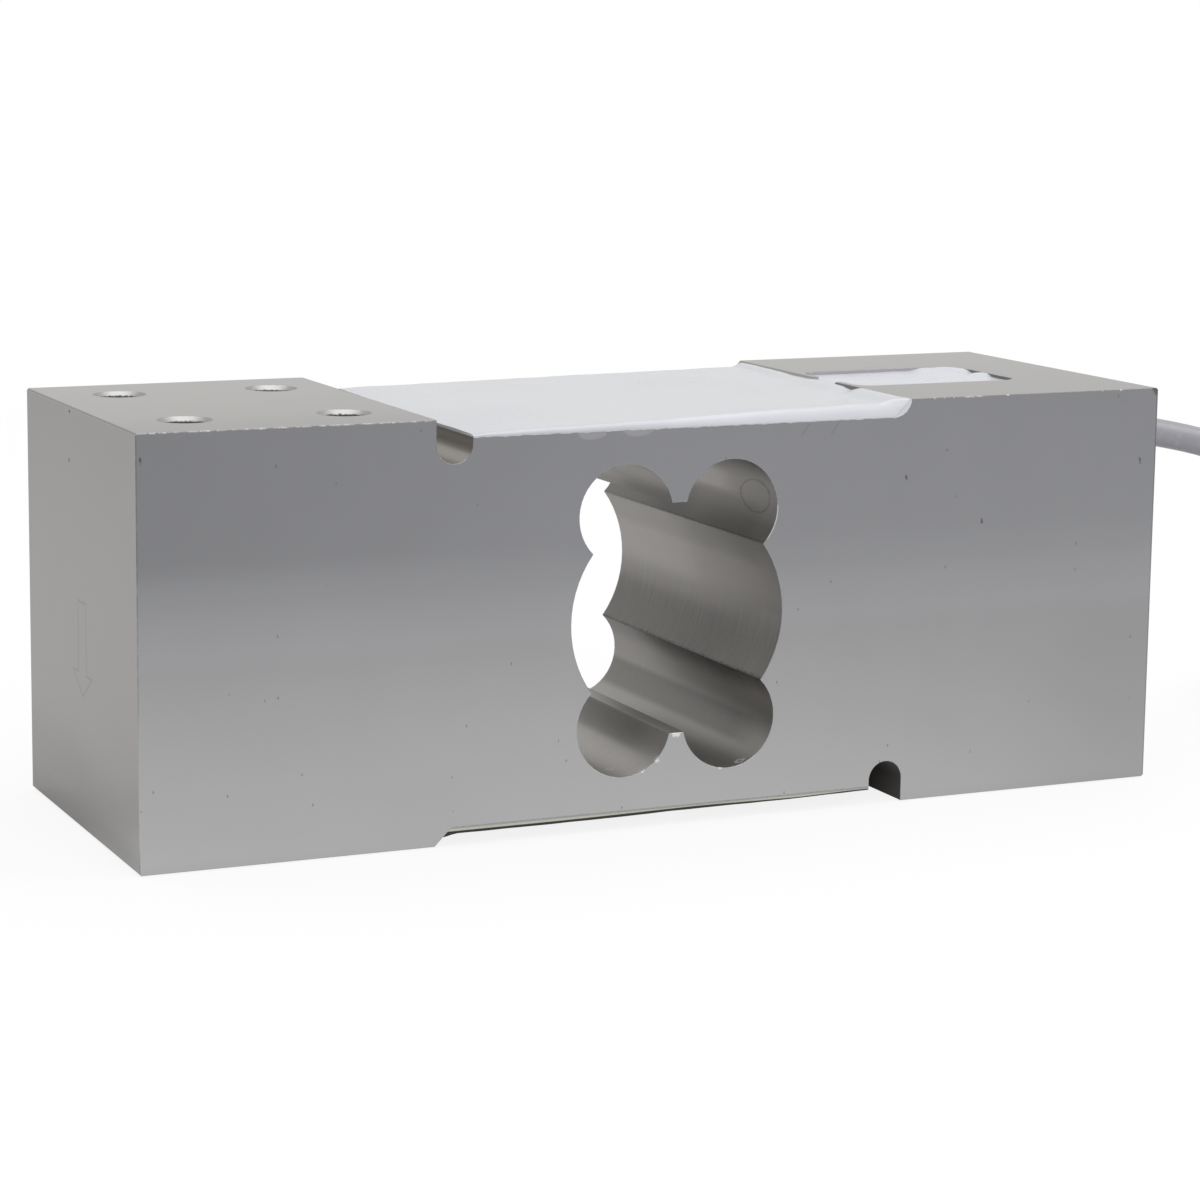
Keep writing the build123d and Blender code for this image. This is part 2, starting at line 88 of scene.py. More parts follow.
# The nodes of one material or of the world
class Graph:
    def __init__(self, tree):
        self.tree = tree

    def feed(self, socket, value):
        if isinstance(value, Wire):
            self.tree.links.new(value.socket, socket)
        else:
            socket.default_value = value

    def add(self, kind, settings, sockets, output=0):
        node = self.tree.nodes.new(kind)
        for key, value in settings.items():
            setattr(node, key, value)
        for key, value in sockets.items():
            self.feed(node.inputs[key], value)
        return Wire(self, node.outputs[output])

    def maths(self, how, *values):
        return self.add("ShaderNodeMath", {"operation": how}, dict(enumerate(values)))

    # from 0 to 1 as value goes from low to high
    def step(self, value, low, high):
        ends = {"Value": value, "From Min": low, "From Max": high}
        return self.add("ShaderNodeMapRange", {"interpolation_type": "SMOOTHSTEP"}, ends)

    def within(self, value, low, high, soft=0.1):
        return self.step(value, low - soft, low) - self.step(value, high, high + soft)

    def mix(self, share, a, b):
        return self.add("ShaderNodeMix", {"data_type": "RGBA"}, {0: share, 6: a, 7: b}, 2)

    def scale(self, color, factor):
        return self.add("ShaderNodeVectorMath", {"operation": "SCALE"}, {0: color, "Scale": factor})

    # object coordinates in millimetres, each stretched by its factor
    def place(self, stretch=(1, 1, 1)):
        here = self.add("ShaderNodeTexCoord", {}, {}, "Object")
        scale = [s / mm for s in stretch]
        return self.add("ShaderNodeVectorMath", {"operation": "MULTIPLY"}, {0: here, 1: scale})

    def xyz(self, vector):
        split = self.add("ShaderNodeSeparateXYZ", {}, {0: vector}).socket.node
        return [Wire(self, socket) for socket in split.outputs]

    # smooth random value round 0.5, its lumps about that many millimetres wide
    def noise(self, vector, grain, detail=2.0):
        return self.add("ShaderNodeTexNoise", {}, {"Vector": vector, "Scale": 1 / grain, "Detail": detail})

    # spots of about that radius, one at most in each cell, share of the cells that have one
    def spots(self, vector, cell, radius, share):
        far = self.add("ShaderNodeTexVoronoi", {}, {"Vector": vector, "Scale": 1 / cell}, "Distance")
        pick = self.xyz(Wire(self, far.socket.node.outputs["Color"]))[0]
        return (1 - self.step(far, radius / cell * 0.5, radius / cell)) * self.step(share - pick, 0, 0.02)

    def bump(self, height, depth, normal=None):
        sockets = {"Height": height, "Distance": depth * mm}
        if normal:
            sockets["Normal"] = normal
        return self.add("ShaderNodeBump", {}, sockets)

    # an upright or level mark on a face: 1 in it, 0 past its half sizes
    def mark(self, across, along, place, half):
        reach = ((across - place[0]).size() / half[0]).most((along - place[1]).size() / half[1])
        return 1 - self.step(reach, 0.5, 1.0)

    # a ragged spot on a face, as the rough noise lets it
    def smudge(self, across, along, place, half, rough):
        reach = ((across - place[0]) / half[0]) ** 2 + ((along - place[1]) / half[1]) ** 2
        return self.step(rough - 0.25 * reach, 0.4, 0.5)

    # a straight stroke between two points of a face
    def stroke(self, across, along, a, b, half):
        length = math.dist(a, b)
        ux, uy = (b[0] - a[0]) / length, (b[1] - a[1]) / length
        far = (across - a[0]) * ux + (along - a[1]) * uy
        side = ((along - a[1]) * ux - (across - a[0]) * uy).size()
        return 1 - self.step(side.most((far - length / 2).size() - length / 2), half * 0.3, half)


class Finish(Graph):
    def __init__(self, name):
        self.material = bpy.data.materials.new(name)
        self.material.use_nodes = True
        super().__init__(self.material.node_tree)
        self.shader = self.tree.nodes["Principled BSDF"]

    def set(self, **values):
        for key, value in values.items():
            self.feed(self.shader.inputs[key.replace("_", " ")], value)

    def cover(self, piece):
        piece.data.materials.clear()
        piece.data.materials.append(self.material)


def grey(level, warm=0.0):
    return (level * (1 + warm), level, level * (1 - warm), 1.0)


# Camera, at the photo's own angle
cameraSet = {
    "place": (-0.2247, -0.4856, 0.1283),
    "turn": (80.89, -0.55, -23.64),
    "lens": 98.7,
    "shift": (0.053, -0.0591),
}
camera = bpy.data.objects.new("camera", bpy.data.cameras.new("camera"))
bpy.context.scene.collection.objects.link(camera)
camera.location = cameraSet["place"]
camera.rotation_euler = [math.radians(a) for a in cameraSet["turn"]]
camera.data.lens = cameraSet["lens"]
camera.data.shift_x, camera.data.shift_y = cameraSet["shift"]
camera.data.clip_start = 0.01
bpy.context.scene.camera = camera
bpy.context.scene.view_settings.view_transform = "Standard"

# Floor, lamps and world: white to the camera, a plain studio in reflections that changes over these mm
stageSet = {
    "floorSize": 8.0,
    "floorLevel": -0.0002,
    "floorColor": (0.8, 0.8, 0.81, 1.0),
    "whiteShare": 0.86,
    "mirrorShare": (0.55, 0.9),
    "far": (250, 700),
    "before": (-10, 40),
    "brightUpTo": (182, 222),
    "fade": (30, 222),
    "toRight": (0, 150),
    "nearColor": (1.0, 1.0, 1.0, 1),
    "nearRight": (0.79, 0.79, 0.8, 1),
    "middleColor": (0.68, 0.68, 0.69, 1),
    "farColor": (0.2, 0.215, 0.28, 1),
    "backColor": (0.42, 0.4, 0.38, 1),
    "worldColor": (0.735, 0.725, 0.705, 1),
}


def makeFloor():
    bpy.ops.object.select_all(action="DESELECT")
    bpy.ops.mesh.primitive_plane_add(size=stageSet["floorSize"], location=(0, 0, stageSet["floorLevel"]))
    floor = bpy.context.object
    floor.name = "floor"
    look = Finish("floorWhite")
    look.set(Base_Color=stageSet["floorColor"], Roughness=0.9)
    seen = look.add("ShaderNodeLightPath", {}, {}, "Is Camera Ray")
    mirrored = look.add("ShaderNodeLightPath", {}, {}, "Is Glossy Ray")
    x, y, z = look.xyz(look.place())
    start, end = stageSet["far"]
    outward = look.step(x * x + y * y, start**2, end**2)
    white = seen * (stageSet["whiteShare"] + (1 - stageSet["whiteShare"]) * outward)
    before = look.step(-y, *stageSet["before"])
    beyond = look.step(-y, *stageSet["brightUpTo"])
    near = look.mix(look.step(x, *stageSet["toRight"]), stageSet["nearColor"], stageSet["nearRight"])
    start, end = stageSet["fade"]
    fade = look.add("ShaderNodeMapRange", {}, {"Value": -y, "From Min": start, "From Max": end})
    ahead = look.mix(fade, near, stageSet["middleColor"])
    ahead = look.mix(beyond, ahead, stageSet["farColor"])
    color = look.mix(seen, look.mix(before, stageSet["backColor"], ahead), grey(1.0))
    glow = look.add("ShaderNodeEmission", {}, {"Color": color, "Strength": 1.0})
    plain = Wire(look, look.shader.outputs[0])
    least, most = stageSet["mirrorShare"]
    share = white.most(mirrored * (least + (most - least) * before * (1 - beyond)))
    both = look.add("ShaderNodeMixShader", {}, {0: share, 1: plain, 2: glow})
    look.feed(look.tree.nodes["Material Output"].inputs["Surface"], both)
    look.cover(floor)


def makeWorld():
    world = bpy.data.worlds.new("studio")
    bpy.context.scene.world = world
    world.use_nodes = True
    sky = Graph(world.node_tree)
    seen = sky.add("ShaderNodeLightPath", {}, {}, "Is Camera Ray")
    ground = sky.tree.nodes["Background"]
    sky.feed(ground.inputs["Color"], sky.mix(seen, stageSet["worldColor"], grey(1.0)))


# each lamp: name, place, point it faces, size, power and color
lampSet = [
    ("above", (0.0, 0.1, 1.1), (0, 0, 0.03), 1.1, 6.5, (0.98, 0.99, 1.0)),
    ("right", (0.9, -0.3, 0.7), (0, 0, 0.03), 0.7, 2.6, (1.0, 0.99, 0.97)),
    ("front", (0.1, -1.2, 0.9), (0, 0, 0.03), 0.8, 3.6, (0.97, 0.985, 1.0)),
]


def makeLamps():
    for name, place, target, size, power, color in lampSet:
        lamp = bpy.data.objects.new("lamp_" + name, bpy.data.lights.new(name, "AREA"))
        bpy.context.scene.collection.objects.link(lamp)
        lamp.location = place
        way = [t - p for t, p in zip(target, place)]
        lamp.rotation_euler = Vector(way).to_track_quat("-Z", "Y").to_euler()
        lamp.data.shape = "SQUARE"
        lamp.data.size = size
        lamp.data.energy = power
        lamp.data.color = color


makeFloor()
makeWorld()
makeLamps()
print("stage ready")


# Plain finishes of the small pieces: color, roughness, metal, grain in mm, color change, bump in mm
finishes = {
    "gauge_film": ((0.5, 0.27, 0.05), 0.35, 0.0, 1.2, 0.15, 0.01),
    "gauge_foil": ((0.45, 0.43, 0.4), 0.35, 0.9, 0.4, 0.12, 0.005),
    "copper_pads": ((0.62, 0.3, 0.16), 0.35, 1.0, 0.5, 0.15, 0.01),
    "tinned_wire": ((0.6, 0.6, 0.58), 0.3, 1.0, 0.4, 0.12, 0.01),
    "lead_insulation": ((0.62, 0.6, 0.52), 0.45, 0.0, 1.0, 0.08, 0.01),
    "foam_tape": ((0.05, 0.05, 0.055), 0.9, 0.0, 0.4, 0.3, 0.06),
    "board": ((0.02, 0.12, 0.05), 0.35, 0.0, 0.8, 0.2, 0.01),
    "resistor": ((0.015, 0.015, 0.017), 0.4, 0.0, 0.4, 0.2, 0.01),
    "seal_rubber": ((0.02, 0.02, 0.021), 0.6, 0.0, 0.8, 0.2, 0.03),
    "tie_nylon": ((0.7, 0.7, 0.64), 0.35, 0.0, 2.0, 0.05, 0.02),
    "shrink_sleeve": ((0.012, 0.012, 0.013), 0.5, 0.0, 1.0, 0.2, 0.03),
    "pigtail_sleeve": ((0.5, 0.4, 0.03), 0.4, 0.0, 1.0, 0.1, 0.02),
    "core_red": ((0.4, 0.01, 0.01), 0.35, 0.0, 1.0, 0.1, 0.01),
    "core_black": ((0.01, 0.01, 0.01), 0.35, 0.0, 1.0, 0.1, 0.01),
    "core_green": ((0.01, 0.18, 0.04), 0.35, 0.0, 1.0, 0.1, 0.01),
    "core_white": ((0.66, 0.66, 0.63), 0.35, 0.0, 1.0, 0.06, 0.01),
}


def plainFinish(name):
    color, roughness, metal, grain, change, depth = finishes[name]
    look = Finish(name)
    here = look.place()
    cloud = look.noise(here, grain, 3.0)
    darker = (*[c * (1 - change) for c in color], 1)
    lighter = (*[min(1, c * (1 + change)) for c in color], 1)
    look.set(
        Base_Color=look.mix(look.step(cloud, 0.35, 0.65), darker, lighter),
        Roughness=roughness + 0.1 * (cloud - 0.5),
        Metallic=metal,
        Normal=look.bump(look.noise(here, grain * 0.4), depth),
    )
    return look


# Cable jacket: glossy soft plastic with a faint wave and scuffs
jacketSet = {
    "color": (0.275, 0.277, 0.308, 1),
    "scuffColor": (0.34, 0.34, 0.35, 1),
    "roughness": 0.3,
    "scuffGrain": 2.2,
    "waveGrain": 1.4,
    "waveDepth": 0.03,
}


def jacketFinish():
    look = Finish("cable_jacket")
    here = look.place()
    scuff = look.step(look.noise(here, jacketSet["scuffGrain"], 4.0), 0.55, 0.75)
    look.set(
        Base_Color=look.mix(scuff, jacketSet["color"], jacketSet["scuffColor"]),
        Roughness=jacketSet["roughness"] + 0.15 * scuff,
        Normal=look.bump(look.noise(here, jacketSet["waveGrain"], 3.0), jacketSet["waveDepth"]),
        Specular_IOR_Level=0.6,
    )
    return look


# Silicone: milky, glossy and cool; its strip under the block is cream between a metal tone and a near-black
# lower edge
siliconeSet = {
    "color": (0.515, 0.53, 0.566, 1),
    "dull": (0.505, 0.519, 0.554, 1),
    "pocket": (0.535, 0.55, 0.605, 1),
    "pocketX": (41, 43),
    # the front lip: painted highlight toward the right, painted shade toward the left
    "lip": (0.565, 0.58, 0.625, 1),
    "shadedLipLeft": (0.48, 0.495, 0.53, 1),
    "lipX": (-14, 12),
    "lipY": (28.2, 29.7),
    "speck": (0.25, 0.25, 0.27, 1),
    "cream": (0.5, 0.48, 0.41, 1),
    "creamZ": (10, 12),
    "metal": (0.33, 0.33, 0.33, 1),
    "metalY": (29.8, 29.9),
    "metalZ": (2.55, 2.9),
    "nearBlackEdge": (0.02, 0.02, 0.02, 1),
    "nearBlackEdgeZ": (2.12, 2.24),
    "nearBlackEdgeRises": [(-22, 8, 0.24), (2, 24, -0.2), (20, 34, 0.25)],
    "roughness": 0.24,
    "bumpDepth": 0.1,
}


def siliconeFinish():
    look = Finish("silicone")
    here = look.place()
    x, y, z = look.xyz(here)
    film = look.step(look.noise(here, 22.0, 0.0), 0.4, 0.7)
    speck = look.spots(here, 5.0, 0.16, 0.12)
    color = look.mix(film, siliconeSet["color"], siliconeSet["dull"])
    color = look.mix(look.step(x, *siliconeSet["pocketX"]), color, siliconeSet["pocket"])
    # the front lip: painted highlight toward the right, painted shade toward the left
    lip = look.mix(look.step(x, *siliconeSet["lipX"]), siliconeSet["shadedLipLeft"], siliconeSet["lip"])
    color = look.mix(look.step(-y, *siliconeSet["lipY"]), color, lip)
    color = look.mix(1 - look.step(z, *siliconeSet["creamZ"]), color, siliconeSet["cream"])
    metal = look.within(z, *siliconeSet["metalZ"], 0.05) * look.step(-y, *siliconeSet["metalY"])
    color = look.mix(metal, color, siliconeSet["metal"])
    # the strip's lower edge is near black, along a line that rises and falls with x
    overEdge = z
    for start, end, rise in siliconeSet["nearBlackEdgeRises"]:
        overEdge = overEdge - rise * look.step(x, start, end)
    nearBlackEdge = 1 - look.step(overEdge, *siliconeSet["nearBlackEdgeZ"])
    color = look.mix(nearBlackEdge, color, siliconeSet["nearBlackEdge"])
    look.set(
        Base_Color=look.mix(speck, color, siliconeSet["speck"]),
        Roughness=siliconeSet["roughness"] + 0.04 * film + 0.3 * speck + 0.5 * nearBlackEdge,
        Normal=look.bump(look.noise(here, 12.0, 0.0), siliconeSet["bumpDepth"]),
    )
    return look


# Block: milled aluminium. The tones of its faces, openings and marks, with painted light and shade among
# them
blockTones = {
    "outside": 0.435,
    "outsideSpread": 0.025,
    # the top's painted reflection, paler toward the back
    "top": grey(0.53),
    # painted shade on the top's front left
    "topFrontShade": grey(0.38),
    # painted shade along the left end's top edge, and a broken dark line down its front corner
    "darkEdge": grey(0.17),
    # the cut-out's walls: painted reflections and shade, and a tone for their streaks
    "cutOutHigh": grey(0.385, 0.025),
    "cutOutMiddle": grey(0.22, 0.03),
    "cutOutLowLeft": grey(0.54, 0.025),
    "cutOutLowRight": grey(0.36, 0.025),
    "cutOutStreak": grey(0.42, 0.03),
    # the upper slot: painted shade on its wall and floor
    "slotWall": grey(0.37, 0.05),
    "slotFloor": grey(0.32, 0.05),
    # the lower slot: painted shade, near black deeper in
    "lowSlot": grey(0.1, 0.08),
    "lowSlotDeepShade": grey(0.005, 0.08),
    # the holes: painted shade under a clean rim
    "hole": grey(0.05),
    "holeRim": grey(0.4),
    # the bare pad walls: painted shade, grey-violet in the pocket and darker at its corner
    "pocketWall": (0.5, 0.47, 0.505, 1),
    "pocketCorner": grey(0.18),
    "bareSlope": grey(0.16, 0.05),
    "bareSlopeBack": grey(0.36, 0.02),
    "nick": grey(0.1),
    "arrow": grey(0.2),
    # painted highlights of burrs, glints, a lobe's rim and glue drops
    "paintedHighlight": grey(0.8),
    "film": (0.56, 0.57, 0.6, 1),
    "smear": (0.5, 0.5, 0.52, 1),
}

# Where the block's finish changes: two numbers are the soft end of an area, or its two ends
blockPlaces = {
    "front": (29.85, 29.95),
    "frontEdge": (29.6, 29.78),
    "frontCorner": (29.72, 29.85),
    "leftEnd": (-87.95, -87.75),
    "leftCorner": (87.75, 87.88),
    "rightCorner": (87.7, 87.85),
    "top": (65.9, 65.97),
    "topBack": (-34, 34),
    "topFrontX": (-40, 0),
    "topFrontY": (-30, -10),
    "topEdge": (65.72, 65.85),
    "cornerLine": (18, 30),
    "wornCorner": (152.3, 152.8),
    "rightEdgeLineZ": (48, 60),
    "cutOutX": (-18.5, 18.5),
    "cutOutZ": (8.0, 58.0),
    "cutOutRight": (-2, 2),
    "cutOutMiddle": (17.5, 21.5),
    "cutOutHigh": (26, 35.5),
    "leftLobe": (2, 4),
    "upperLobes": (52, 55),
    "upperSlotX": (-41.1, -34.9),
    "upperSlotWall": (-36.2, -35.1),
    "upperSlotFloor": (59.0, 59.1),
    "lowerSlotX": (34.9, 41.1),
    "lowerSlotTop": (7.0, 7.1),
    "lowerSlotDeep": (-31, -13),
    "padWall": (62.0, 62.5),
    "pocketX": (41.9, 72.5),
    "pocketY": (-11.8, 9.8),
    "pocketCorner": (69.0, 70.5),
    "slope": (38.2, 41.05),
    "slopeBack": (0, 2),
    "holesMiddle": 63.7,
    "holesAside": (12.7, 17.0),
    "holeMouth": (4.25, 4.35),
    "holeZ": (0.03, 65.97),
    "holeRim": (32.25, 32.45),
    "halfHeight": 33.0,
}

blockSurface = {
    "frontRoughness": 0.19,
    "otherRoughness": 0.3,
    "bumpDepth": 0.006,
    "edgeRadius": 0.2,
}

# Where the front and the left end get less light, or a little more: ranges of x, y and z, and shares
dimSet = {
    "upperZ": (41, 47),
    "upperX": (-95, 10),
    "upper": (0.16, 0.04),
    "middleZ": (33, 37),
    "middle": 0.05,
    "lowRightX": (55, 85),
    "lowRightZ": (22, 34),
    "lowRight": 0.07,
    "footZ": (8, 18),
    "footY": (-22, 5),
    "foot": 0.11,
    "sillZ": (0, 6),
    "sillY": (-28, -5),
    "sill": (0.4, 0.1),
}

# Painted reflections and shade on the cut-out's walls, in bands duller or brighter with depth: z of start,
# full, end and gone, y where it is none and all, change of tone
bands = [
    (9.9, 11.0, 14.0, 15.3, -30, -17, -0.34),
    (14.5, 21.0, 21.9, 22.0, -12, -29, 0.85),
    (21.9, 22.1, 28.0, 31.0, -22, -6, -0.2),
    (22.0, 23.0, 31.0, 33.0, -18, -27, 0.17),
    (31.0, 34.0, 43.9, 44.0, -6, 8, 0.15),
    (38.5, 40.5, 48.5, 50.0, -27, -22, -0.14),
    (44.0, 44.1, 48.5, 50.0, -6, 8, -0.32),
    (49.5, 50.5, 52.8, 54.2, -18, -8, 0.3),
]

# Marks: places are x and z on the front face, y and z on the left end
nicks = [(40.4, 53.4, 0.7), (54.8, 45.5, 0.8), (85.0, 54.1, 0.8), (-87.3, 61.8, 0.8)]
endNicks = [(5.0, 65.1), (5.4, 57.5)]
scores = [((21.3, 61.0), (22.6, 62.8)), ((26.6, 61.0), (27.9, 62.8))]
# Painted highlights: glints, and the rings of glue drops
glints = [(-11.5, 11.5, 0.8), (0.0, 14.4, 0.9), (8.0, 8.4, 0.5)]
drops = [
    ((-9.0, -24.5, 8.3), 0.7),
    ((-3.4, -29.7, 10.7), 0.6),
    ((-5.8, -29.7, 9.0), 0.5),
    ((12.0, -28.6, 8.8), 0.9),
]
smears = [(-15.2, 62.8, 2.6, 1.0), (-7.4, 62.85, 2.6, 0.85)]
cusps = [(14.76, 43.99, 0.35), (14.76, 22.01, 0.8)]
loop = {"middle": (14.1, 50.6), "half": (2.0, 2.7), "lean": 0.4, "strength": 0.4}
brightRim = {"middle": (9.15, 49.75), "radius": 8.0, "width": 0.16, "x": (13, 14), "z": (45.0, 49.8)}
arrow = {"middle": -0.7, "shaft": (2.15, 23.0, 36.2), "head": (5.2, 24.9, 21.35), "strength": 0.36}
filmEnd = {"middle": (38.1, 66.1), "reach": (8.8, 9.3), "x": (37.9, 38.2), "y": (27, 28)}
filmBorder = {"z": (63.3, 63.4), "x": (-34.8, 38.2), "strength": 0.85}


def mostOf(masks):
    best = masks[0]
    for mask in masks[1:]:
        best = best.most(mask)
    return best


# The block's finish: each step paints its tone over those before it
class BlockFinish(Finish):
    def __init__(self):
        super().__init__("aluminium")
        self.here = self.place()
        self.x, self.y, self.z = self.xyz(self.here)
        self.grain = self.noise(self.here, 0.4, 2.0)
        self.wobble = self.grain - 0.5
        self.ragged = self.noise(self.place((1.4, 1, 0.8)), 0.5, 2.0)
        self.along = self.noise(self.place((1, 0, 0)), 1.7, 2.0)
        self.streak = self.noise(self.place((0.12, 3.0, 0.12)), 1.0, 3.0)
        self.front = self.step(-self.y, *blockPlaces["front"])
        self.inner = 1 - self.step(self.y.size(), *blockPlaces["front"])
        self.leftEnd = 1 - self.step(self.x, *blockPlaces["leftEnd"])
        self.top = self.step(self.z, *blockPlaces["top"])
        inHeight = self.within(self.z, *blockPlaces["cutOutZ"])
        self.cutOut = self.inner * inHeight * self.within(self.x, *blockPlaces["cutOutX"])

    def paint(self, mask, tone):
        self.tone = self.mix(mask, self.tone, tone)

    # the outside: cloudy, with its top painted paler toward the back and darker at its front left as painted
    # reflection and shade, and dark lines along the left end's edges
    def paintFaces(self):
        x, y, z = self.x, self.y, self.z
        plain, spread = blockTones["outside"], blockTones["outsideSpread"]
        darker, lighter = grey(plain * (1 - spread)), grey(plain * (1 + spread))
        self.tone = self.mix(self.noise(self.here, 14.0), darker, lighter)
        # painted reflection: the top paler toward the back
        self.paint(self.top * self.step(y, *blockPlaces["topBack"]) * 0.5, blockTones["top"])
        # painted shade on the top's front left
        inFront = 1 - self.step(y, *blockPlaces["topFrontY"])
        atLeft = 1 - self.step(x, *blockPlaces["topFrontX"])
        self.paint(self.top * inFront * atLeft * 0.75, blockTones["topFrontShade"])
        broken = self.step(self.noise(self.place((0, 0, 1)), 3.0), 0.3, 0.6)
        broken = broken * self.step(z, *blockPlaces["cornerLine"]) * 0.4
        upright = self.step(-y, *blockPlaces["frontCorner"]) * broken
        # painted shade along the left end's top edge
        level = self.step(z, *blockPlaces["topEdge"])
        self.paint(self.step(-x, *blockPlaces["leftCorner"]) * level.most(upright), blockTones["darkEdge"])

    def dimFaces(self):
        x, y, z = self.x, self.y, self.z
        left, right = dimSet["upper"]
        dim = self.step(z, *dimSet["upperZ"]) * (left - (left - right) * self.step(x, *dimSet["upperX"]))
        dim = dim - self.within(z, *dimSet["middleZ"], 4) * dimSet["middle"]
        lowRight = self.step(x, *dimSet["lowRightX"]) * (1 - self.step(z, *dimSet["lowRightZ"]))
        dim = dim + lowRight * dimSet["lowRight"]
        endDim = (1 - self.step(z, *dimSet["footZ"])) * self.step(y, *dimSet["footY"]) * dimSet["foot"]
        near, far = dimSet["sill"]
        sill = 1 - self.step(z, *dimSet["sillZ"])
        endDim = endDim + sill * (near - (near - far) * self.step(y, *dimSet["sillY"]))
        self.tone = self.scale(self.tone, 1 - self.front * dim - self.leftEnd * endDim)

    # the walls of the cut-out in painted reflections and shade, as they mirror what is round them
    def paintCutOut(self):
        x, y, z = self.x, self.y, self.z
        toRight = self.step(x, *blockPlaces["cutOutRight"])
        tone = self.mix(toRight, blockTones["cutOutLowLeft"], blockTones["cutOutLowRight"])
        tone = self.mix(self.step(z, *blockPlaces["cutOutMiddle"]), tone, blockTones["cutOutMiddle"])
        tone = self.mix(self.step(z, *blockPlaces["cutOutHigh"]), tone, blockTones["cutOutHigh"])
        tone = self.mix(0.3 * self.step(self.streak, 0.35, 0.8), tone, blockTones["cutOutStreak"])
        # painted reflection: the upper left lobe brighter
        inLobe = (1 - self.step(x, *blockPlaces["leftLobe"])) * self.step(z, *blockPlaces["upperLobes"])
        level = 1 + inLobe * 0.3
        for start, full, end, gone, none, most, change in bands:
            band = self.step(z, start, full) - self.step(z, end, gone)
            level = level + band * self.step(y, none, most) * change
        self.paint(self.cutOut, self.scale(tone, level))

    def paintSlots(self):
        x, y, z = self.x, self.y, self.z
        # painted shade in the upper slot, on its wall and floor
        above = self.step(z, *blockPlaces["upperSlotFloor"])
        upper = self.inner * self.within(x, *blockPlaces["upperSlotX"]) * above
        toWall = self.step(x, *blockPlaces["upperSlotWall"])
        self.paint(upper, self.mix(toWall, blockTones["slotFloor"], blockTones["slotWall"]))
        # painted shade in the lower slot, near black deeper in
        lower = 1 - self.step(z, *blockPlaces["lowerSlotTop"])
        self.lowSlot = self.inner * self.within(x, *blockPlaces["lowerSlotX"]) * lower
        deep = self.step(y, *blockPlaces["lowerSlotDeep"])
        self.paint(self.lowSlot, self.mix(deep, blockTones["lowSlot"], blockTones["lowSlotDeepShade"]))

    # the eight holes: a clean rim, and under it walls and thread painted near black as shade
    def paintHoles(self):
        asideX, asideY = blockPlaces["holesAside"]
        mouth, past = blockPlaces["holeMouth"]
        awayX = (self.x.size() - blockPlaces["holesMiddle"]).size() - asideX
        away = awayX**2 + (self.y.size() - asideY) ** 2
        inHeight = self.within(self.z, *blockPlaces["holeZ"], 0.02)
        self.hole = (1 - self.step(away, mouth**2, past**2)) * inHeight
        fromMiddle = (self.z - blockPlaces["halfHeight"]).size() + 0.5 * self.wobble
        rim = self.step(fromMiddle, *blockPlaces["holeRim"])
        self.paint(self.hole, self.mix(rim, blockTones["hole"], blockTones["holeRim"]))

    # the right pad's walls where the silicone leaves them bare, the pocket's and the recess's slope, in
    # painted shade
    def paintPadWalls(self):
        x, y, z = self.x, self.y, self.z
        below = (1 - self.top) * self.step(z, *blockPlaces["padWall"])
        pocket = below * self.within(y, *blockPlaces["pocketY"]) * self.within(x, *blockPlaces["pocketX"])
        toCorner = self.step(x, *blockPlaces["pocketCorner"])
        self.paint(pocket, self.mix(toCorner, blockTones["pocketWall"], blockTones["pocketCorner"]))
        slope = below * self.inner * self.within(x, *blockPlaces["slope"])
        toBack = self.step(y, *blockPlaces["slopeBack"])
        self.paint(slope, self.mix(toBack, blockTones["bareSlope"], blockTones["bareSlopeBack"]))

    # a loop scratched in the upper right lobe
    def loopMask(self):
        (middleX, middleZ), (halfX, halfZ) = loop["middle"], loop["half"]
        ringX = (self.x - loop["lean"] * (self.y + 30) - middleX) / halfX
        ring = ringX * ringX + ((self.z - middleZ) / halfZ) ** 2 + 0.5 * self.wobble
        return (1 - self.step((ring - 1).size(), 0.05, 0.14)) * self.cutOut * loop["strength"]

    # the rough edge where two of the cut-out's circles meet
    def cuspMask(self, cuspX, cuspZ, strength):
        reach = (self.x - cuspX).size().most((self.z - cuspZ).size()) + 1.4 * (self.ragged - 0.5)
        return (1 - self.step(reach, 0.05, 0.4)) * strength

    # small dark marks: nicks, scores, ticks, a worn top right corner, a dark line down the right edge, rough
    # cusps and dust
    def paintDarkMarks(self):
        x, y, z = self.x, self.y, self.z
        marks = [self.smudge(x, z, (px, pz), (0.35, half), self.ragged) for px, pz, half in nicks]
        marks += [self.stroke(x, z, a, b, 0.09) * 0.5 for a, b in scores]
        marks.append(self.step(x + z + 1.6 * self.wobble, *blockPlaces["wornCorner"]) * 0.9)
        rightEdgeDarkness = 0.35 + 0.3 * self.step(z, *blockPlaces["rightEdgeLineZ"])
        marks.append(self.step(x, *blockPlaces["rightCorner"]) * rightEdgeDarkness)
        marks.append(self.spots(self.place((2.2, 0, 1.2)), 4.2, 0.4, 0.36) * 0.6)
        onEnd = mostOf([self.smudge(y, z, place, (0.6, 0.5), self.ragged) for place in endNicks])
        ridges = mostOf([self.cuspMask(*cusp) for cusp in cusps])
        dust = self.spots(self.place((1, 1, 0.45)), 4.0, 0.13, 0.25) * 0.45
        onFront = mostOf(marks) * self.front * 0.75
        masks = [onFront, onEnd * self.leftEnd, self.loopMask(), ridges * self.cutOut, dust]
        self.paint(mostOf(masks), blockTones["nick"])

